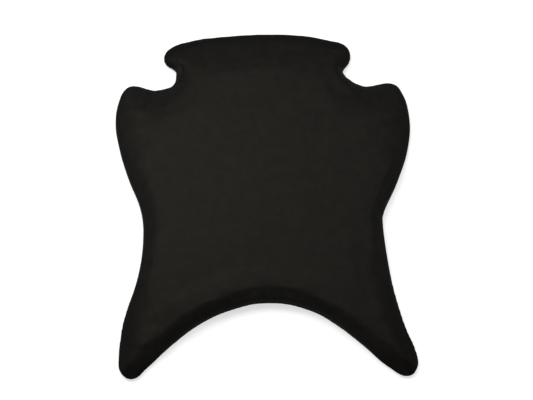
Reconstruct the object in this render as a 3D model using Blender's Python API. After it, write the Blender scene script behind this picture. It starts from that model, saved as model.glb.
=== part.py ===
"""Motorcycle tail seat pad: one piece of black closed-cell foam with a flat underside.

Seen from above it has a short rear bar, a neck, wide shoulders, a waist and two horns that
stand on either side of a wide arch, where the rear end of the fuel tank sits. The top is very
slightly crowned. Its rear and side edges are ground down in long ramps to a thin lip, the horns
thin out towards their tips, and the arch keeps an upright wall with a rolled top edge.

Metres, +Z up, +X to the rider's right, +Y to the rear. The origin lies on the underside, below
the middle of the pad.
"""

from collections import namedtuple

import bmesh
import bpy
import numpy as np
from mathutils import Vector
from mathutils.geometry import delaunay_2d_cdt

# Main sizes, with how far the crowned top falls from its middle to each side and to each end
LENGTH = 0.3589
SHOULDER_WIDTH = 0.2891
BAR_WIDTH = 0.1875
NECK_WIDTH = 0.1660
WAIST_WIDTH = 0.2277
HORN_SPAN = 0.2732
ARCH_WIDTH = 0.1259
ARCH_HEIGHT = 0.0746
THICKNESS = 0.024
CROWN_ACROSS = 0.003
CROWN_ALONG = 0.005
LIP_RADIUS = 0.002
BASE_RADIUS = 0.0015
RAMP_STRAIGHT_SHARE = 0.15

# Each stretch of the edge: the height of its upright lip, the run of the ramp behind it, and the
# share of the run that is straight before the ramp eases into the top
Edge = namedtuple("Edge", "lip run straight", defaults=(RAMP_STRAIGHT_SHARE,))
REAR = Edge(lip=0.0038, run=0.049)
BAR_END = Edge(lip=0.0055, run=0.018)
NOTCH_LEFT = Edge(lip=0.0088, run=0.024)
NOTCH_RIGHT = Edge(lip=0.008, run=0.0135)
SHOULDER_TOP = Edge(lip=0.007, run=0.039)
SHOULDER_LEFT = Edge(lip=0.0075, run=0.0345)
SHOULDER_RIGHT = Edge(lip=0.0063, run=0.039)
FLANK_LEFT = Edge(lip=0.0105, run=0.020)
FLANK_RIGHT = Edge(lip=0.0095, run=0.0145)
WAIST_LEFT = Edge(lip=0.0095, run=0.0195)
WAIST_RIGHT = Edge(lip=0.009, run=0.0165)
HORN_LEFT = Edge(lip=0.0035, run=0.034)
HORN_RIGHT = Edge(lip=0.003, run=0.031)
TIP = Edge(lip=0.006, run=0.024, straight=0.45)
ARCH_SLOPE = Edge(lip=0.0098, run=0.0095, straight=0.55)
ARCH = Edge(lip=0.0105, run=0.0068, straight=0.6)

# The pad was trimmed by hand: how far the middle of each width stands left of the centre line
BAR_LEAN = 0.0025
NECK_LEAN = 0.0008
SHOULDER_LEAN = -0.0002
WAIST_LEAN = 0.0033
HORN_LEAN = 0.0039
KNEE_LEAN = 0.0006
ARCH_LEAN = 0.0020

# Where each feature lies, on the left and on the right. The bar, the neck, the notch and the
# shoulders are measured from the rear edge, and the horns and the arch from the horns' tips
BAR_FROM_REAR = (0.0235, 0.0269)
NECK_FROM_REAR = (0.0457, 0.0469)
SHOULDER_FROM_REAR = (0.0935, 0.0965)
HORN_FROM_TIP = (0.0286, 0.0216)
KNEE_FROM_TIP = (0.0575, 0.0497)

# The floor of each notch: its points' shares of the way from the neck to the shoulder's peak,
# with their distances from the rear edge
FLOOR_SHARES = ((0.085, 0.330, 0.555), (0.098, 0.309, 0.588))
FLOOR_FROM_REAR = ((0.0570, 0.0606, 0.0606), (0.0545, 0.0612, 0.0644))

# The waist's share of the way from the shoulder to the horn
WAIST_SHARE = (0.506, 0.469)

# The outline's other points, as steps outwards and rearwards from their feature
REAR_INNER = ((-0.0459, 0.0214), (-0.0455, 0.0239))
REAR_OUTER = ((-0.0211, 0.0172), (-0.0210, 0.0175))
BAR_CORNER = ((-0.0048, 0.0100), (-0.0048, 0.0117))
BAR_HEEL = ((-0.0021, -0.0075), (-0.0022, -0.0095))
NECK_REAR = ((0.0008, 0.0064), (0.0011, 0.0029))
SHOULDER_PEAK = ((-0.0186, 0.0387), (-0.0237, 0.0349))
SHOULDER_CORNER = ((-0.0106, 0.0361), (-0.0121, 0.0341))
SHOULDER_SIDE = ((-0.0036, 0.0230), (-0.0058, 0.0264))
FLANK_UPPER = ((-0.0035, -0.0268), (-0.0032, -0.0329))
FLANK_LOWER = ((-0.0127, -0.0606), (-0.0169, -0.0710))
WAIST_UPPER = ((0.0027, 0.0262), (0.0004, 0.0062))
WAIST_LOWER = ((0.0055, -0.0434), (0.0008, -0.0245))
HORN_UPPER = ((-0.0048, 0.0350), (-0.0164, 0.0638))
HORN_SIDE = ((-0.0013, 0.0140), (-0.0079, 0.0244))
HORN_CORNER = ((-0.0023, -0.0150), (-0.0003, -0.0125))
HORN_TIP = ((-0.0124, -0.0215), (-0.0087, -0.0210))
HORN_INNER = ((-0.0261, -0.0117), (-0.0264, -0.0123))
SLOPE = ((0.0290, -0.0209), (0.0226, -0.0200))
ARCH_CURVE = ((-0.0282, 0.0117), (-0.0254, 0.0161))

# Density of the mesh
STEPS_PER_STRETCH = 5
LIP_RING_SHARES = (0.3, 1.0)
RAMP_RING_SHARES = (0.15, 0.3, 0.45, 0.6, 0.75, 0.88, 1.0)
TOP_PITCH = 0.009
CLOSEST = 0.0017
ON_RING_SHARE = 0.95
BARE_SHARE = 0.6
MITRE_PASSES = 3
MITRE_FACTOR = 0.5
ROUND_PROFILE = 0.5
SHARP_DEGREES = 50

PAD_COLOUR = (0.018, 0.0172, 0.0142, 1.0)
PAD_ROUGHNESS = 0.85

LEFT, RIGHT = 0, 1


def clear_scene():
    """Remove what the file opened with."""
    for obj in list(bpy.data.objects):
        bpy.data.objects.remove(obj, do_unlink=True)


def collection(name):
    """A new collection in the scene."""
    made = bpy.data.collections.new(name)
    bpy.context.scene.collection.children.link(made)
    return made


def foam_material():
    """Black foam with a dull, slightly warm skin."""
    material = bpy.data.materials.new("black_foam")
    material.use_nodes = True
    shader = material.node_tree.nodes["Principled BSDF"]
    shader.inputs["Base Color"].default_value = PAD_COLOUR
    shader.inputs["Roughness"].default_value = PAD_ROUGHNESS
    shader.inputs["Metallic"].default_value = 0.0
    return material


def side_stations(side):
    """The points of one side, from the rear edge to the arch, each with its stretch of edge."""
    rear_edge = LENGTH / 2
    tips = -LENGTH / 2
    leaning = 1 if side == LEFT else -1
    notch = NOTCH_LEFT if side == LEFT else NOTCH_RIGHT
    shoulder_edge = SHOULDER_LEFT if side == LEFT else SHOULDER_RIGHT
    flank = FLANK_LEFT if side == LEFT else FLANK_RIGHT
    waist_edge = WAIST_LEFT if side == LEFT else WAIST_RIGHT
    horn_edge = HORN_LEFT if side == LEFT else HORN_RIGHT

    def feature(width, lean, place):
        return np.array((width / 2 + leaning * lean, place))

    bar = feature(BAR_WIDTH, BAR_LEAN, rear_edge - BAR_FROM_REAR[side])
    neck = feature(NECK_WIDTH, NECK_LEAN, rear_edge - NECK_FROM_REAR[side])
    shoulder = feature(SHOULDER_WIDTH, SHOULDER_LEAN, rear_edge - SHOULDER_FROM_REAR[side])
    horn = feature(HORN_SPAN, HORN_LEAN, tips + HORN_FROM_TIP[side])
    knee = feature(ARCH_WIDTH, KNEE_LEAN, tips + KNEE_FROM_TIP[side])
    waist_place = shoulder[1] + WAIST_SHARE[side] * (horn[1] - shoulder[1])
    waist = feature(WAIST_WIDTH, WAIST_LEAN, waist_place)

    peak = shoulder + SHOULDER_PEAK[side]
    floor = [(neck[0] + share * (peak[0] - neck[0]), rear_edge - distance)
             for share, distance in zip(FLOOR_SHARES[side], FLOOR_FROM_REAR[side])]

    points = [
        (bar + REAR_INNER[side], REAR),
        (bar + REAR_OUTER[side], REAR),
        (bar + BAR_CORNER[side], REAR),
        (bar, BAR_END),
        (bar + BAR_HEEL[side], BAR_END),
        (neck + NECK_REAR[side], notch),
        (neck, notch),
        (floor[0], notch),
        (floor[1], notch),
        (floor[2], SHOULDER_TOP),
        (peak, SHOULDER_TOP),
        (shoulder + SHOULDER_CORNER[side], shoulder_edge),
        (shoulder + SHOULDER_SIDE[side], shoulder_edge),
        (shoulder, shoulder_edge),
        (shoulder + FLANK_UPPER[side], shoulder_edge),
        (shoulder + FLANK_LOWER[side], flank),
        (waist + WAIST_UPPER[side], flank),
        (waist, waist_edge),
        (waist + WAIST_LOWER[side], waist_edge),
        (horn + HORN_UPPER[side], horn_edge),
        (horn + HORN_SIDE[side], horn_edge),
        (horn, horn_edge),
        (horn + HORN_CORNER[side], TIP),
        (horn + HORN_TIP[side], TIP),
        (horn + HORN_INNER[side], TIP),
        (knee + SLOPE[side], ARCH_SLOPE),
        (knee, ARCH_SLOPE),
        (knee + ARCH_CURVE[side], ARCH),
    ]
    return [((-leaning * x, y), edge) for (x, y), edge in points]


def outline_stations():
    """The whole outline, clockwise seen from above, from the middle of the rear edge."""
    stations = [((0.0, LENGTH / 2), REAR)]
    stations += side_stations(RIGHT)
    stations += [((-ARCH_LEAN, ARCH_HEIGHT - LENGTH / 2), ARCH)]
    stations += reversed(side_stations(LEFT))
    return stations


def smooth_loop(stations, guides):
    """Draw a smooth closed curve through the stations; its points, centred on the origin."""
    curve = bpy.data.curves.new("outline_guide", "CURVE")
    curve.dimensions = "3D"
    curve.resolution_u = STEPS_PER_STRETCH
    spline = curve.splines.new("BEZIER")
    spline.use_cyclic_u = True
    spline.bezier_points.add(len(stations) - 1)
    for knot, ((x, y), _) in zip(spline.bezier_points, stations):
        knot.handle_left_type = "AUTO"
        knot.handle_right_type = "AUTO"
        knot.co = (x, y, 0.0)
    guide = bpy.data.objects.new("outline_guide", curve)
    guide.hide_render = True
    guide.display_type = "WIRE"
    guides.objects.link(guide)
    depsgraph = bpy.context.evaluated_depsgraph_get()
    wire = bpy.data.meshes.new_from_object(guide.evaluated_get(depsgraph))
    points = np.array([vertex.co[:2] for vertex in wire.vertices])
    bpy.data.meshes.remove(wire)
    return points - (points.min(axis=0) + points.max(axis=0)) / 2


def edge_sizes(stations):
    """Lip, run and straight share at every point of the loop, easing between the stations."""
    share = np.arange(STEPS_PER_STRETCH) / STEPS_PER_STRETCH
    ease = (share * share * (3 - 2 * share))[None, :, None]
    here = np.array([edge for _, edge in stations])[:, None, :]
    after = np.roll(here, -1, axis=0)
    return (here + (after - here) * ease).reshape(-1, len(Edge._fields))


def crowned_top(points):
    """Height of the top where no ramp reaches: full in the middle, a little lower outwards."""
    across = 2 * points[:, 0] / SHOULDER_WIDTH
    along = 2 * points[:, 1] / LENGTH
    return THICKNESS - CROWN_ACROSS * across ** 2 - CROWN_ALONG * along ** 2


def section(depth, lip, run, straight, top):
    """Height at a depth inside the edge: rounded lip, straight ramp, easing to the top."""
    slope = 2 * (top - lip) / (run * (1 + straight))
    bend = np.clip(depth - straight * run, 0, (1 - straight) * run)
    climb = slope * (np.minimum(depth, run) - bend * bend / (2 * (1 - straight) * run))
    short = np.clip(LIP_RADIUS - depth, 0, LIP_RADIUS)
    rounding = LIP_RADIUS - np.sqrt(LIP_RADIUS ** 2 - short ** 2)
    return lip + climb - rounding


def measure(points, loop, sizes):
    """Depth of each point inside the outline, and the lowest top that any edge leaves there."""
    start = loop[None]
    along = np.roll(loop, -1, axis=0)[None] - start
    offset = points[:, None] - start
    share = np.clip((offset * along).sum(2) / (along * along).sum(2), 0, 1)
    depth = np.linalg.norm(offset - share[..., None] * along, axis=2)
    size = sizes[None] + share[..., None] * (np.roll(sizes, -1, axis=0) - sizes)[None]
    height = section(depth, *np.moveaxis(size, 2, 0), crowned_top(points)[:, None])
    return depth.min(axis=1), height.min(axis=1)


def inside(points, loop):
    """True for the points that lie within the outline."""
    x, y = points[:, :1], points[:, 1:]
    near = loop[None]
    far = np.roll(loop, -1, axis=0)[None]
    crosses = (near[..., 1] > y) != (far[..., 1] > y)
    rise = np.where(crosses, far[..., 1] - near[..., 1], 1.0)
    at_x = near[..., 0] + (y - near[..., 1]) * (far[..., 0] - near[..., 0]) / rise
    return (crosses & (at_x > x)).sum(axis=1) % 2 == 1


def ring_points(loop, sizes):
    """Points in rings along the edge, closer together where the ramp is short."""
    tangent = np.roll(loop, -1, axis=0) - np.roll(loop, 1, axis=0)
    inward = np.stack([tangent[:, 1], -tangent[:, 0]], axis=1)
    inward /= np.linalg.norm(inward, axis=1)[:, None]
    depths = [np.full(len(loop), share * LIP_RADIUS) for share in LIP_RING_SHARES]
    depths += [share * sizes[:, 1] for share in RAMP_RING_SHARES]
    kept = loop
    for wanted in depths:
        ring = loop + inward * wanted[:, None]
        depth, _ = measure(ring, loop, sizes)
        clear = inside(ring, loop) & (depth > ON_RING_SHARE * wanted)
        for point, spread in zip(ring[clear], np.minimum(CLOSEST, wanted[clear] / 2)):
            if np.linalg.norm(kept - point, axis=1).min() > spread:
                kept = np.vstack([kept, point])
    return kept


def top_lattice(loop, kept):
    """Evenly spread points over what the rings leave bare."""
    low, high = loop.min(axis=0), loop.max(axis=0)
    xs = np.arange(low[0], high[0], TOP_PITCH)
    ys = np.arange(low[1], high[1], TOP_PITCH)
    grid = np.array([(x, y) for x in xs for y in ys])
    grid = grid[inside(grid, loop)]
    nearest = np.linalg.norm(grid[:, None] - kept[None], axis=2).min(axis=1)
    return grid[nearest > BARE_SHARE * TOP_PITCH]


def build_pad(parts, guides):
    """The pad: its top laid over the outline, walls dropped to the underside and closed."""
    stations = outline_stations()
    loop = smooth_loop(stations, guides)
    sizes = edge_sizes(stations)
    kept = ring_points(loop, sizes)
    points = np.vstack([kept, top_lattice(loop, kept)])

    count = len(loop)
    border = [(i, (i + 1) % count) for i in range(count)]
    flat, _, triangles, _, _, _ = delaunay_2d_cdt(
        [Vector(point) for point in points], border, [list(range(count))], 1, 1e-7)

    bm = bmesh.new()
    _, heights = measure(np.array([point[:] for point in flat]), loop, sizes)
    corners = [bm.verts.new((p[0], p[1], z)) for p, z in zip(flat, heights)]
    for triangle in triangles:
        bm.faces.new([corners[i] for i in triangle])
    soft = [vertex for vertex in bm.verts if not vertex.is_boundary]
    for _ in range(MITRE_PASSES):
        bmesh.ops.smooth_vert(bm, verts=soft, factor=MITRE_FACTOR, use_axis_z=True)

    rim = [edge for edge in bm.edges if edge.is_boundary]
    wall = bmesh.ops.extrude_edge_only(bm, edges=rim)["geom"]
    foot = [item for item in wall if isinstance(item, bmesh.types.BMVert)]
    for vertex in foot:
        vertex.co.z = 0.0
    sole = [edge for edge in bm.edges if edge.is_boundary]
    bmesh.ops.edgeloop_fill(bm, edges=sole)
    bmesh.ops.recalc_face_normals(bm, faces=bm.faces[:])
    bmesh.ops.bevel(
        bm, geom=sole, offset=BASE_RADIUS, segments=2, profile=ROUND_PROFILE, affect="EDGES")

    mesh = bpy.data.meshes.new("seat_pad")
    bm.to_mesh(mesh)
    bm.free()
    mesh.materials.append(foam_material())
    mesh.shade_smooth()
    mesh.set_sharp_from_angle(angle=np.radians(SHARP_DEGREES))
    pad = bpy.data.objects.new("seat_pad", mesh)
    parts.objects.link(pad)
    return pad


def main():
    clear_scene()
    parts = collection("tail_seat_pad")
    guides = collection("guides")
    build_pad(parts, guides)


main()
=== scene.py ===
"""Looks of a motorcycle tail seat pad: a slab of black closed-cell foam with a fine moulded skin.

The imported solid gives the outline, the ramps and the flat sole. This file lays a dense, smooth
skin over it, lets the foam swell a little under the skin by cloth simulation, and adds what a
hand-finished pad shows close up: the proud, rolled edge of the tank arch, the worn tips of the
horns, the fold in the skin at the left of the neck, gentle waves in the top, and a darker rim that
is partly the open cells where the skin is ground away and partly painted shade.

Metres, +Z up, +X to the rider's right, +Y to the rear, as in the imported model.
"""

import math

import bmesh
import bpy
import numpy as np
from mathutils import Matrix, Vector, noise
from mathutils.kdtree import KDTree


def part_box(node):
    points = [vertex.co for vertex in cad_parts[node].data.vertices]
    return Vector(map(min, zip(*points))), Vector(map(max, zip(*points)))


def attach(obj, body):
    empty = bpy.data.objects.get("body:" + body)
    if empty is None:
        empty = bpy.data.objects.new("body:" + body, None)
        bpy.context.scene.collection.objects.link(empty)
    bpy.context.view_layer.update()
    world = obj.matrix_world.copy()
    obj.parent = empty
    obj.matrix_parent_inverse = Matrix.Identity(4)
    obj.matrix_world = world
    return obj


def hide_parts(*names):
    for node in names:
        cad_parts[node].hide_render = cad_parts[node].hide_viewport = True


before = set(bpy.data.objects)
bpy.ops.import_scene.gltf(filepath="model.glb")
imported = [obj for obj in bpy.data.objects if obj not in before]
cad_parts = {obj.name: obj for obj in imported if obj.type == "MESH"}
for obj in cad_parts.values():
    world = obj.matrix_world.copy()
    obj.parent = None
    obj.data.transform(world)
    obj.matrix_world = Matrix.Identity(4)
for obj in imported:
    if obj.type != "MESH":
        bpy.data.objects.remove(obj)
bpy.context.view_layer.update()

bl_info = {
    "name": "Tail seat pad",
    "version": (1, 0, 0),
    "blender": (4, 5, 0),
    "location": "3D View > Sidebar > Tail pad",
    "description": "Lays a foam skin over the packed tail seat pad and sets it on a studio floor",
    "category": "Object",
}

# Names in the imported model, the piece made here, and its map of the darker rim: skin ground away, and
# painted shade
NODE = "seat_pad"
BODY = "root"
PIECE = "pad_skin"
RIM_GRIND_AND_SHADE = "ground"

SOLE_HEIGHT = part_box(NODE)[0].z

MM = 0.001

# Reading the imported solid: corners closer than WELD are one, and the outline is cut through the
# plain wall, above the sole's rounded edge
WELD = 0.001 * MM
OUTLINE_HEIGHT = 3.0 * MM

# Smoothing of the mesh: the share of the way to the neighbours' mean in one pass, and how much
# more than that share is pushed back where a form has to keep its full size
PULL = 0.5
PUSH_BACK = 1.04
MELT_PASSES = 24
EVEN_PASSES = 8
SWELL_PASSES = 12
RIM_GRIND_AND_SHADE_PASSES = 10

# The cloth simulation: its steps, how stiffly the skin bends, and the move that counts as none
CLOTH_STEPS = 20
SKIN_BENDING = 5.0
STILL = 1e-9
# How many coarse points a fine point takes its swelling from, and what keeps the nearest of them
# from deciding it alone
BLENDED_POINTS = 5
BLEND_DISTANCE = 0.3 * MM

# Heights between which the sole gives way to the wall, and the wall to the ramps and the top
SOLE_TO_WALL = (0.2 * MM, 1.5 * MM)
WALL_TO_TOP = (3.5 * MM, 6.0 * MM)

# Distances in from the outline: where the facets melt, where the arch's proud edge and the horns'
# wear fade out, where the arch's edge is rolled, and where the swelling of the foam comes in
MELT_DEPTHS = (0.5 * MM, 4.0 * MM)
PROUD_DEPTHS = (9.0 * MM, 34.0 * MM)
WEAR_DEPTHS = (0.0, 14.0 * MM)
ROLL_DEPTH = 4.8 * MM
ROLL_WIDTH = 2.6 * MM
SWELL_DEPTHS = (5.0 * MM, 26.0 * MM)

# The tank arch: how squarely its outline faces the front, how far it reaches to each side, and the
# line that it lies in front of
ARCH_FACING = (0.45, 0.75)
ARCH_HALF_SPAN = 125.0 * MM
ARCH_REAR = -50.0 * MM
# Distances to the side between which the roll and the proud edge fade out
ROLL_SPAN = (25.0 * MM, 55.0 * MM)
PROUD_SPAN = (55.0 * MM, 90.0 * MM)

# Distances from the pad's middle to the front between which the horns, their tips and their noses
# begin, and to the rear between which the rear band does
HORNS = (60.0 * MM, 165.0 * MM)
TIPS = (100.0 * MM, 165.0 * MM)
NOSES = (150.0 * MM, 170.0 * MM)
REAR_BAND = (140.0 * MM, 160.0 * MM)

# How strongly the rim is darkened on the pad's sides, partly for skin that is ground away and
# partly as painted shade, how wide the rear's darker rim is against the horns', and how much of
# the arch is spared that darkening
SIDE_GRIND_AND_SHADE = 0.2
REAR_SPREAD = 0.45
ARCH_SPARED = 0.9

# The skin is drawn into a fold at the left of the neck: a crease with a raised strip outside it,
# and a small bead behind them. Paths seen from above
FOLD_CREASE = ((-79.0 * MM, 121.0 * MM), (-78.7 * MM, 139.5 * MM))
FOLD_STRIP = ((-82.2 * MM, 124.0 * MM), (-81.9 * MM, 138.0 * MM))
FOLD_BEAD = ((-80.4 * MM, 147.7 * MM), (-80.0 * MM, 148.7 * MM))

# Side of the paper floor, which reaches past the edge of the view
FLOOR_SIDE = 12.0

# Square softboxes, all turned to the middle of the pad's sole. Each has its degrees round from the
# front towards +X, its degrees up, and the setting that holds its power
PAD_MIDDLE = Vector((0.0, 0.0, 0.0))
LAMP_SIDE = 0.6
LAMP_DISTANCE = 1.5
LAMPS = (
    ("key_softbox", 210, 65, "key"),
    ("back_softbox", 180, 65, "back"),
    ("high_left_softbox", 240, 45, "high_left"),
    ("high_right_softbox", 120, 50, "high_right"),
    ("left_lamp", 270, 10, "left"),
    ("right_lamp", 90, 10, "right"),
    ("front_lamp", 0, 10, "front"),
)

# The photograph's view: high in front of the pad and a little to its left
CAMERA_AIM = Vector((0.6 * MM, -0.8 * MM, 0.0))
CAMERA_DISTANCE = 1.2113
CAMERA_AZIMUTH = -2.2
CAMERA_ELEVATION = 68.0
CAMERA_LENS = 85.0
CAMERA_SENSOR = 36.0


def linear(code):
    """An sRGB hex colour such as #1e1d1b, as the three linear numbers that Blender uses."""
    channels = [int(code[i:i + 2], 16) / 255 for i in (1, 3, 5)]
    return tuple(c / 12.92 if c <= 0.04045 else ((c + 0.055) / 1.055) ** 2.4 for c in channels)


def length(name, description, default):
    """A size that the user can change, in metres."""
    return bpy.props.FloatProperty(
        name=name, description=description, default=default, min=0.0, unit="LENGTH", precision=5)


def colour(name, description, code):
    """A colour that the user can change, written as sRGB hex."""
    return bpy.props.FloatVectorProperty(
        name=name, description=description, default=linear(code), subtype="COLOR",
        size=3, min=0.0, max=1.0)


def power(name, description, default):
    """The power of a lamp, in watts."""
    return bpy.props.FloatProperty(
        name=name, description=description, default=default, min=0.0, unit="POWER")


class PadFormSettings(bpy.types.PropertyGroup):
    """Sizes of the skin's mesh and of what the hand-finished foam shows."""

    mesh_size: length("Mesh size", "Edge length of the finished skin's mesh", 1.5 * MM)
    cloth_size: length("Cloth size", "Edge length of the coarse mesh that swells", 5.0 * MM)
    shrink: length("Shrink", "How far the coarse mesh starts inside the pad", 0.5 * MM)
    cap: length("Cap", "How far a point of the foam may swell", 0.4 * MM)
    pressure: bpy.props.FloatProperty(
        name="Pressure", description="Pressure of the foam under its skin", default=4.0, min=0.0)
    wave_height: length("Wave height", "Height of the soft waves in the top", 0.25 * MM)
    wave_length: length("Wave length", "Distance from wave to wave in the top", 55.0 * MM)
    fold_depth: length("Fold depth", "Depth of the crease along the fold at the neck", 1.4 * MM)
    fold_width: length("Fold width", "Half the width of that crease", 1.5 * MM)
    strip_height: length("Strip height", "Height of the fold beside its crease", 1.0 * MM)
    strip_width: length("Strip width", "Half the width of the fold", 2.0 * MM)
    bead_height: length("Bead height", "Height of the small bead behind the fold", 0.6 * MM)
    bead_width: length("Bead width", "Half the width of the bead", 2.0 * MM)
    # The rim's darker colour: open cells where the skin is ground away, and painted shade
    grind_and_shade_start: length("Ground start", "Width of the rim where the skin is ground away", 2.0 * MM)
    grind_and_shade_end: length("Ground end", "Distance from the rim at which the skin is whole", 9.0 * MM)
    grind_and_shade_spread: length("Ground spread", "How much wider the ground rim grows on the horns", 30.0 * MM)
    tip_wear: length("Tip wear", "How much lower the rim of the horns' tips is worn", 1.8 * MM)
    arch_swell: length("Arch swell", "How proud the foam stands along the edge of the arch", 1.5 * MM)
    arch_roll: length("Arch roll", "How far the middle of the arch's edge is pressed down", 2.2 * MM)


class FoamSkinSettings(bpy.types.PropertyGroup):
    """Colour and grain of the foam's skin."""

    dark: colour("Dark", "Colour in the denser patches of the skin", "#191817")
    light: colour("Light", "Colour in the duller patches of the skin", "#1e1d1b")
    # Darker, neutral black of the rim: the open cells' own colour and painted shade
    ground: colour("Ground", "Colour of the open cells along the ground rim", "#141312")
    roughness: bpy.props.FloatProperty(
        name="Roughness", description="Mean roughness of the skin", default=0.46, min=0.0, max=1.0)
    ior: bpy.props.FloatProperty(
        name="IOR", description="Index of refraction of the skin", default=1.5, min=1.0, max=2.0)
    sheen: bpy.props.FloatProperty(
        name="Specular level", description="How much of the plain surface's sheen the open grain keeps",
        default=0.05, min=0.0, max=1.0)
    sheen_tint: colour("Sheen tint", "Faint warm tint of the skin's sheen", "#fffce2")
    patch_size: length("Patch size", "Size of the patches of slightly different black", 9.0 * MM)
    cell_size: length("Cell size", "Size of the foam's skinned cells", 1.1 * MM)
    cell_height: length("Cell height", "Height of the skinned cells", 0.05 * MM)


class StudioSettings(bpy.types.PropertyGroup):
    """The paper floor, the lamps and the fill."""

    floor: colour("Floor", "Colour of the paper floor", "#ffffff")
    floor_glow: bpy.props.FloatProperty(
        name="Floor glow", description="How brightly the backlit paper shows in the picture",
        default=0.65, min=0.0)
    floor_shade: bpy.props.FloatProperty(
        name="Floor shade", description="Share of the lamps' light that the paper shows",
        default=0.6, min=0.0, max=1.0)
    floor_in_sheen: bpy.props.FloatProperty(
        name="Floor in the sheen", description="How much of the glow the foam's dull sheen picks up",
        default=0.15, min=0.0, max=1.0)
    floor_bounce: bpy.props.FloatProperty(
        name="Floor bounce", description="Share of the light that the floor throws back at the pad",
        default=0.3, min=0.0, max=1.0)
    key: power("Key light", "Power of the softbox above and behind the pad, to the left", 7.7)
    back: power("Back light", "Power of the softbox straight behind and above the pad", 3.1)
    high_left: power("High left light", "Power of the softbox on the left behind the pad", 5.8)
    high_right: power("High right light", "Power of the softbox on the right behind the pad", 4.1)
    left: power("Left light", "Power of the low lamp on the left", 1.8)
    right: power("Right light", "Power of the low lamp on the right", 1.5)
    front: power("Front light", "Power of the low lamp in front", 3.4)
    fill: bpy.props.FloatProperty(
        name="Fill", description="Level of the light from all round", default=0.02, min=0.0)


def add_node(tree, kind, settings=(), sockets=(), links=()):
    """Add a node with its settings and socket values, and link its inputs to other outputs.

    Sockets are named, or numbered where a node's sockets share a name.
    """
    node = tree.nodes.new(kind)
    for name, value in dict(settings).items():
        setattr(node, name, value)
    for name, value in dict(sockets).items():
        node.inputs[name].default_value = value
    for name, output in dict(links).items():
        tree.links.new(output, node.inputs[name])
    return node


def new_material(name):
    """An empty material with its node tree and its output."""
    material = bpy.data.materials.new(name)
    material.use_nodes = True
    tree = material.node_tree
    tree.nodes.clear()
    output = add_node(tree, "ShaderNodeOutputMaterial")
    return material, tree, output


def skinned_foam(look):
    """Closed-cell neoprene sponge with its moulded skin: a matt, faintly warm black.

    The skin of the mould closes the cells, so the eye sees a dull sheen with a fine pebble, and
    patches where the sponge lies denser under the skin. Real cells are about 0.2 mm wide, too fine
    to show, so the pebble is drawn some five times as coarse. Along the rim the colour turns a darker,
    neutral black: partly the open cells where the skin is ground away, and partly painted shade.
    """
    material, tree, output = new_material("skinned_neoprene_foam")
    place = add_node(tree, "ShaderNodeTexCoord").outputs["Object"]
    patches = add_node(
        tree, "ShaderNodeTexNoise",
        sockets={"Scale": 1 / look.patch_size, "Detail": 5.0, "Roughness": 0.65},
        links={"Vector": place})
    spread = add_node(
        tree, "ShaderNodeMapRange", sockets={"From Min": 0.35, "From Max": 0.65},
        links={"Value": patches.outputs["Fac"]})
    blend = add_node(
        tree, "ShaderNodeMix", settings={"data_type": "RGBA"},
        links={"Factor": spread.outputs["Result"]})
    blend.inputs["A"].default_value = (*look.dark, 1.0)
    blend.inputs["B"].default_value = (*look.light, 1.0)
    # The darker rim: partly skin ground away, partly painted shade
    worn = add_node(tree, "ShaderNodeAttribute", settings={"attribute_name": RIM_GRIND_AND_SHADE})
    colours = add_node(
        tree, "ShaderNodeMix", settings={"data_type": "RGBA"}, links={"Factor": worn.outputs["Fac"]})
    tree.links.new(blend.outputs["Result"], colours.inputs["A"])
    colours.inputs["B"].default_value = (*look.ground, 1.0)
    cells = add_node(
        tree, "ShaderNodeTexVoronoi", settings={"feature": "SMOOTH_F1"},
        sockets={"Scale": 1 / look.cell_size, "Smoothness": 0.6, "Randomness": 1.0},
        links={"Vector": place})
    pebble = add_node(
        tree, "ShaderNodeBump", settings={"invert": True},
        sockets={"Strength": 1.0, "Distance": look.cell_height},
        links={"Height": cells.outputs["Distance"]})
    shader = add_node(
        tree, "ShaderNodeBsdfPrincipled",
        sockets={"Roughness": look.roughness, "IOR": look.ior, "Specular IOR Level": look.sheen,
                 "Specular Tint": (*look.sheen_tint, 1.0)},
        links={"Base Color": colours.outputs["Result"], "Normal": pebble.outputs["Normal"]})
    tree.links.new(shader.outputs["BSDF"], output.inputs["Surface"])
    return material


def white_paper(studio):
    """Matt white background paper, lit from behind: bright to the camera, dull to the pad.

    The glow shows to camera and transmission rays, and throws no light on the pad. The foam's sheen
    is so broad that for it the glow would be a lamp, so glossy rays meet only a little of it. The
    paper's own shade keeps the pad's shadow.
    """
    material, tree, output = new_material("white_background_paper")
    path = add_node(tree, "ShaderNodeLightPath")
    mirrored = add_node(
        tree, "ShaderNodeMath", settings={"operation": "MULTIPLY"},
        sockets={1: studio.floor_in_sheen}, links={0: path.outputs["Is Glossy Ray"]})
    straight = add_node(
        tree, "ShaderNodeMath", settings={"operation": "MAXIMUM"},
        links={0: path.outputs["Is Camera Ray"], 1: path.outputs["Is Transmission Ray"]})
    seen = add_node(
        tree, "ShaderNodeMath", settings={"operation": "MAXIMUM"},
        links={0: straight.outputs[0], 1: mirrored.outputs[0]})
    shade = add_node(
        tree, "ShaderNodeMix", settings={"data_type": "RGBA"},
        links={"Factor": seen.outputs[0]})
    shade.inputs["A"].default_value = (*(c * studio.floor_bounce for c in studio.floor), 1.0)
    shade.inputs["B"].default_value = (*(c * studio.floor_shade for c in studio.floor), 1.0)
    paper = add_node(
        tree, "ShaderNodeBsdfDiffuse", links={"Color": shade.outputs["Result"]})
    level = add_node(
        tree, "ShaderNodeMath", settings={"operation": "MULTIPLY"},
        sockets={1: studio.floor_glow}, links={0: seen.outputs[0]})
    glow = add_node(
        tree, "ShaderNodeEmission", sockets={"Color": (*studio.floor, 1.0)},
        links={"Strength": level.outputs[0]})
    both = add_node(
        tree, "ShaderNodeAddShader", links={0: paper.outputs["BSDF"], 1: glow.outputs["Emission"]})
    tree.links.new(both.outputs["Shader"], output.inputs["Surface"])
    return material


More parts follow.
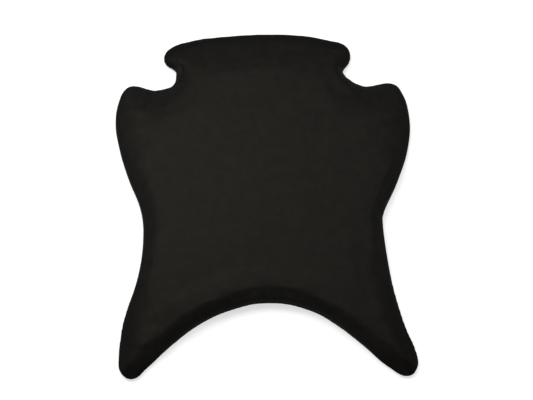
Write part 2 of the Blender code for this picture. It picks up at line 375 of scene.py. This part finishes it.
def coordinates(mesh):
    """The mesh's vertex positions as an array."""
    flat = np.empty(len(mesh.vertices) * 3)
    mesh.vertices.foreach_get("co", flat)
    return flat.reshape(-1, 3)


def set_coordinates(mesh, points):
    """Write the vertex positions back."""
    mesh.vertices.foreach_set("co", points.ravel())
    mesh.update()


def normals(mesh):
    """The mesh's vertex normals as an array."""
    flat = np.empty(len(mesh.vertices) * 3)
    mesh.vertex_normals.foreach_get("vector", flat)
    return flat.reshape(-1, 3)


def edge_ends(mesh):
    """The two vertices of each edge."""
    flat = np.empty(len(mesh.edges) * 2, dtype=np.int64)
    mesh.edges.foreach_get("vertices", flat)
    return flat.reshape(-1, 2)


def welded_solid():
    """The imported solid's mesh, with the corners welded that its file keeps apart."""
    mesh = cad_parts[NODE].data.copy()
    bm = bmesh.new()
    bm.from_mesh(mesh)
    bmesh.ops.remove_doubles(bm, verts=bm.verts, dist=WELD)
    bm.to_mesh(mesh)
    bm.free()
    return mesh


def remeshed(mesh, size, name):
    """An object with the same form in even quads of the given size."""
    source = bpy.data.objects.new(name, mesh)
    bpy.context.scene.collection.objects.link(source)
    remesh = source.modifiers.new("even_quads", "REMESH")
    remesh.mode = "VOXEL"
    remesh.voxel_size = size
    depsgraph = bpy.context.evaluated_depsgraph_get()
    even = bpy.data.meshes.new_from_object(source.evaluated_get(depsgraph))
    source.modifiers.clear()
    source.data = even
    return source


def outline_of(mesh, height):
    """The pad's outline in order: the cut made through the solid at a height on its plain wall."""
    bm = bmesh.new()
    bm.from_mesh(mesh)
    cut = bmesh.ops.bisect_plane(
        bm, geom=bm.verts[:] + bm.edges[:] + bm.faces[:], plane_co=(0, 0, height),
        plane_no=(0, 0, 1), dist=WELD, clear_outer=True)["geom_cut"]
    rim = {item for item in cut if isinstance(item, bmesh.types.BMEdge)}
    bm.edges.index_update()
    edge = min(rim, key=lambda item: item.index)
    here = edge.verts[0]
    points = []
    while rim:
        rim.discard(edge)
        points.append(here.co[:2])
        here = edge.other_vert(here)
        onward = [e for e in here.link_edges if e in rim]
        if not onward:
            break
        edge = onward[0]
    bm.free()
    loop = np.array(points)
    ahead = np.roll(loop, -1, axis=0)
    if (loop[:, 0] * ahead[:, 1] - loop[:, 1] * ahead[:, 0]).sum() > 0:
        loop = loop[::-1]
    return loop


class Rim:
    """Where each point of the mesh lies against the pad's outline, seen from above.

    Depth is its distance to the outline, foot the nearest point on it, and outward the way out of
    the pad there.
    """

    BATCH = 8000

    def __init__(self, points, loop):
        along = np.roll(loop, -1, axis=0) - loop
        span = (along * along).sum(axis=1)
        facing = np.stack([-along[:, 1], along[:, 0]], axis=1) / np.sqrt(span)[:, None]
        depth, foot, outward = [], [], []
        for start in range(0, len(points), self.BATCH):
            offset = points[start:start + self.BATCH, None, :2] - loop[None]
            share = np.clip((offset * along).sum(axis=2) / span, 0, 1)
            gap = offset - share[..., None] * along
            reach = np.linalg.norm(gap, axis=2)
            near = reach.argmin(axis=1)
            rows = np.arange(len(near))
            depth.append(reach[rows, near])
            foot.append(loop[near] + share[rows, near][:, None] * along[near])
            outward.append(facing[near])
        self.depth = np.concatenate(depth)
        self.foot = np.concatenate(foot)
        self.outward = np.concatenate(outward)


def ease(value, low, high):
    """0 below low, 1 above high, and a smooth step between them."""
    share = np.clip((value - low) / (high - low), 0, 1)
    return share * share * (3 - 2 * share)


def fade(value, full, none):
    """1 below full, 0 above none, and a smooth step between them."""
    return 1 - ease(value, full, none)


def ridge(across, width):
    """A soft rounded ridge: 1 in the middle, 0.37 at its half width."""
    return np.exp(-(across / width) ** 2)


def neighbour_mean(values, ends):
    """The mean of each vertex's neighbours."""
    total = np.zeros_like(values)
    number = np.zeros(len(values))
    for a, b in ((0, 1), (1, 0)):
        np.add.at(total, ends[:, a], values[ends[:, b]])
        np.add.at(number, ends[:, a], 1)
    return total / number[:, None]


def smoothed(values, ends, pull, passes):
    """Values eased towards their neighbours' mean, by one share or by a share for each vertex."""
    shares = np.broadcast_to(pull, len(values))[:, None]
    for _ in range(passes):
        values = values + shares * (neighbour_mean(values, ends) - values)
    return values


def evened(values, ends, pull, passes):
    """Values freed of the voxels' steps at their full size: each easing is pushed back again."""
    for _ in range(passes):
        values = smoothed(values, ends, pull, 1)
        values = smoothed(values, ends, -PUSH_BACK * pull, 1)
    return values


def swell(form):
    """Let a coarse copy of the pad swell as cloth; its points and how far each one moves."""
    pad = remeshed(welded_solid(), form.cloth_size, "swelling_foam")
    start = coordinates(pad.data)
    low = start[:, 2] < form.shrink
    inset = start - form.shrink * normals(pad.data)
    inset[:, 2] = np.where(low, start[:, 2], inset[:, 2])
    set_coordinates(pad.data, inset)
    sole = pad.vertex_groups.new(name="sole")
    sole.add(np.flatnonzero(low).tolist(), 1.0, "REPLACE")
    cloth = pad.modifiers.new("foam", "CLOTH")
    cloth.settings.use_pressure = True
    cloth.settings.uniform_pressure_force = form.pressure
    cloth.settings.effector_weights.gravity = 0.0
    cloth.settings.vertex_group_mass = sole.name
    cloth.settings.bending_stiffness = SKIN_BENDING
    scene = bpy.context.scene
    for step in range(1, CLOTH_STEPS + 1):
        scene.frame_set(step)
    depsgraph = bpy.context.evaluated_depsgraph_get()
    after = coordinates(pad.evaluated_get(depsgraph).to_mesh())
    scene.frame_set(1)
    moved = after - start
    far = np.linalg.norm(moved, axis=1)
    moved *= np.minimum(1.0, form.cap / np.maximum(far, STILL))[:, None]
    bpy.data.objects.remove(pad)
    return start, moved


def carried(points, start, moved):
    """The swelling at the fine mesh's points, blended from the nearest coarse points."""
    tree = KDTree(len(start))
    for index, point in enumerate(start):
        tree.insert(point, index)
    tree.balance()
    result = np.empty_like(points)
    for index, point in enumerate(points):
        found = tree.find_n(point, BLENDED_POINTS)
        weights = np.array([1 / (distance + BLEND_DISTANCE) ** 2 for _, _, distance in found])
        result[index] = (weights[:, None] * moved[[i for _, i, _ in found]]).sum(0) / weights.sum()
    return result


def from_path(points, path):
    """How far points lie, seen from above, from a path of straight stretches."""
    nearest = np.full(len(points), np.inf)
    for a, b in zip(path, path[1:]):
        along = np.subtract(b, a)
        offset = points[:, :2] - a
        share = np.clip(offset @ along / (along @ along), 0, 1)
        nearest = np.minimum(nearest, np.linalg.norm(offset - share[:, None] * along, axis=1))
    return nearest


def along_arch(rim):
    """1 where the nearest stretch of the outline is the tank arch, 0 elsewhere."""
    facing = ease(-rim.outward[:, 1], *ARCH_FACING)
    return facing * (np.abs(rim.foot[:, 0]) < ARCH_HALF_SPAN) * (rim.foot[:, 1] < ARCH_REAR)


def settled(points, ends, rim, top, arch):
    """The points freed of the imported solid's facets and of the voxels' steps.

    The facets melt away in height only, so that the outline stays, and the arch's wall keeps its
    crisp upper edge.
    """
    loose = PULL * top * ease(rim.depth, *MELT_DEPTHS) * (1 - arch)
    heights = smoothed(points[:, 2:], ends, loose, MELT_PASSES)
    points = np.hstack([points[:, :2], heights])
    return evened(points, ends, PULL * ease(points[:, 2], *SOLE_TO_WALL), EVEN_PASSES)


def edge_forms(points, rim, top, arch, form):
    """How much higher than the plain solid the arch's edge and the horns' tips lie."""
    aside = np.abs(rim.foot[:, 0])
    proud = form.arch_swell * fade(rim.depth, *PROUD_DEPTHS) * arch * fade(aside, *PROUD_SPAN)
    rolled = form.arch_roll * ridge(rim.depth - ROLL_DEPTH, ROLL_WIDTH) * arch * fade(aside, *ROLL_SPAN)
    worn = form.tip_wear * ease(-points[:, 1], *TIPS) * fade(rim.depth, *WEAR_DEPTHS)
    return (proud - rolled - worn) * top


def swelling(points, ends, rim, top, form):
    """How far the foam's swelling moves each point, from nothing at the rim."""
    start, moved = swell(form)
    shift = smoothed(carried(points, start, moved), ends, PULL, SWELL_PASSES)
    return shift * (top * ease(rim.depth, *SWELL_DEPTHS))[:, None]


def skin_marks(points, top, form):
    """How far the waves in the top and the fold at the neck stand out of the smooth skin."""
    lift = form.wave_height * np.array([noise.noise(Vector(p) / form.wave_length) for p in points])
    lift -= form.fold_depth * ridge(from_path(points, FOLD_CREASE), form.fold_width)
    lift += form.strip_height * ridge(from_path(points, FOLD_STRIP), form.strip_width)
    lift += form.bead_height * ridge(from_path(points, FOLD_BEAD), form.bead_width)
    return lift * top


def rim_grind_and_shade(points, ends, rim, horns, arch, form):
    """How dark the rim is at each point, for skin that is ground away and as painted shade: most at the
    rear and on the horns.
    """
    rear = ease(points[:, 1], *REAR_BAND)
    noses = ease(-points[:, 1], *NOSES)
    spread = form.grind_and_shade_spread * (horns + REAR_SPREAD * rear)
    near_rim = fade(rim.depth, form.grind_and_shade_start, form.grind_and_shade_end + spread)
    strength = np.clip(SIDE_GRIND_AND_SHADE + (1 - SIDE_GRIND_AND_SHADE) * rear + horns, 0, 1)
    spared = ARCH_SPARED * arch * (1 - noses)
    return smoothed((near_rim * strength * (1 - spared))[:, None], ends, PULL, RIM_GRIND_AND_SHADE_PASSES)


def build_skin(form):
    """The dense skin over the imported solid, with all its form in the mesh."""
    solid = welded_solid()
    loop = outline_of(solid, OUTLINE_HEIGHT)
    skin = remeshed(solid, form.mesh_size, PIECE)
    points = coordinates(skin.data)
    ends = edge_ends(skin.data)
    rim = Rim(points, loop)
    top = ease(points[:, 2], *WALL_TO_TOP)
    arch = along_arch(rim)

    points = settled(points, ends, rim, top, arch)
    horns = ease(-points[:, 1], *HORNS)
    points[:, 2] += edge_forms(points, rim, top, arch, form)
    points += swelling(points, ends, rim, top, form)
    set_coordinates(skin.data, points)
    points += normals(skin.data) * skin_marks(points, top, form)[:, None]
    set_coordinates(skin.data, points)

    # Map of the darker rim: skin ground away, and painted shade
    ground = skin.data.attributes.new(RIM_GRIND_AND_SHADE, "FLOAT", "POINT")
    ground.data.foreach_set("value", rim_grind_and_shade(points, ends, rim, horns, arch, form).ravel())
    skin.data.shade_smooth()
    return skin


class PAD_OT_lay_skin(bpy.types.Operator):
    """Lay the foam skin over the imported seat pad"""

    bl_idname = "tail_pad.lay_skin"
    bl_label = "Lay the foam skin"

    def execute(self, context):
        scene = context.scene
        skin = build_skin(scene.pad_form)
        if len(skin.data.polygons) == 0:
            raise RuntimeError("the skin came out empty")
        skin.data.materials.clear()
        skin.data.materials.append(skinned_foam(scene.foam_skin))
        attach(skin, BODY)
        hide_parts(NODE)
        return {"FINISHED"}


class PAD_OT_set_stage(bpy.types.Operator):
    """Set the floor, the lights and the camera round the pad"""

    bl_idname = "tail_pad.set_stage"
    bl_label = "Set the stage"

    def execute(self, context):
        studio = context.scene.pad_studio
        lay_floor(studio)
        hang_lights(studio)
        light_room(studio)
        place_camera(context.scene)
        return {"FINISHED"}


def lay_floor(studio):
    """A sheet of background paper under the pad."""
    mesh = bpy.data.meshes.new("paper_floor")
    bm = bmesh.new()
    bmesh.ops.create_grid(bm, x_segments=1, y_segments=1, size=FLOOR_SIDE / 2)
    bm.to_mesh(mesh)
    bm.free()
    mesh.materials.append(white_paper(studio))
    floor = bpy.data.objects.new("paper_floor", mesh)
    floor.location.z = SOLE_HEIGHT
    bpy.context.scene.collection.objects.link(floor)


def way_out(azimuth, elevation):
    """The way out from the pad: degrees round from the front towards +X, and degrees up."""
    turn, rise = math.radians(azimuth), math.radians(elevation)
    return Vector((
        math.sin(turn) * math.cos(rise), -math.cos(turn) * math.cos(rise), math.sin(rise)))


def hang_lights(studio):
    """Softboxes high behind the pad and at both sides, and low lamps on three sides."""
    for name, azimuth, elevation, setting in LAMPS:
        lamp = bpy.data.lights.new(name, "AREA")
        lamp.shape = "SQUARE"
        lamp.size = LAMP_SIDE
        lamp.energy = getattr(studio, setting)
        box = bpy.data.objects.new(name, lamp)
        box.location = LAMP_DISTANCE * way_out(azimuth, elevation)
        box.rotation_euler = (PAD_MIDDLE - box.location).to_track_quat("-Z", "Y").to_euler()
        bpy.context.scene.collection.objects.link(box)


def light_room(studio):
    """A pale room: white where the camera sees it, and a faint fill for all other light."""
    world = bpy.data.worlds.new("pale_room")
    world.use_nodes = True
    tree = world.node_tree
    tree.nodes.clear()
    path = add_node(tree, "ShaderNodeLightPath")
    level = add_node(tree, "ShaderNodeMapRange", sockets={"To Min": studio.fill, "To Max": 1.0})
    tree.links.new(path.outputs["Is Camera Ray"], level.inputs["Value"])
    room = add_node(
        tree, "ShaderNodeBackground", sockets={"Color": (1.0, 1.0, 1.0, 1.0)},
        links={"Strength": level.outputs["Result"]})
    output = add_node(tree, "ShaderNodeOutputWorld")
    tree.links.new(room.outputs["Background"], output.inputs["Surface"])
    bpy.context.scene.world = world
    bpy.context.scene.view_settings.view_transform = "Standard"


def place_camera(scene):
    """The camera high in front of the pad, as the photograph shows it."""
    lens = bpy.data.cameras.new("camera")
    lens.lens = CAMERA_LENS
    lens.sensor_width = CAMERA_SENSOR
    camera = bpy.data.objects.new("camera", lens)
    back = way_out(CAMERA_AZIMUTH, CAMERA_ELEVATION)
    camera.location = CAMERA_AIM + CAMERA_DISTANCE * back
    camera.rotation_euler = (-back).to_track_quat("-Z", "Y").to_euler()
    scene.collection.objects.link(camera)
    scene.camera = camera


class PAD_PT_panel(bpy.types.Panel):
    """The pad's settings and its operators, in the 3D view's sidebar"""

    bl_label = "Tail seat pad"
    bl_idname = "PAD_PT_panel"
    bl_space_type = "VIEW_3D"
    bl_region_type = "UI"
    bl_category = "Tail pad"

    def draw(self, context):
        layout = self.layout
        for group, operator in PANEL_ROWS:
            settings = getattr(context.scene, group)
            box = layout.box()
            for name in settings.__annotations__:
                box.prop(settings, name)
            if operator:
                box.operator(operator)


PANEL_ROWS = (
    ("pad_form", None),
    ("foam_skin", PAD_OT_lay_skin.bl_idname),
    ("pad_studio", PAD_OT_set_stage.bl_idname),
)

CLASSES = (
    PadFormSettings,
    FoamSkinSettings,
    StudioSettings,
    PAD_OT_lay_skin,
    PAD_OT_set_stage,
    PAD_PT_panel,
)


def register():
    """Add the classes and the three groups of settings."""
    for cls in CLASSES:
        bpy.utils.register_class(cls)
    bpy.types.Scene.pad_form = bpy.props.PointerProperty(type=PadFormSettings)
    bpy.types.Scene.foam_skin = bpy.props.PointerProperty(type=FoamSkinSettings)
    bpy.types.Scene.pad_studio = bpy.props.PointerProperty(type=StudioSettings)


def unregister():
    """Take the settings and the classes away again."""
    del bpy.types.Scene.pad_studio
    del bpy.types.Scene.foam_skin
    del bpy.types.Scene.pad_form
    for cls in reversed(CLASSES):
        bpy.utils.unregister_class(cls)


def main():
    """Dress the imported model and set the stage."""
    register()
    bpy.ops.tail_pad.lay_skin()
    bpy.ops.tail_pad.set_stage()


if __name__ == "__main__":
    main()
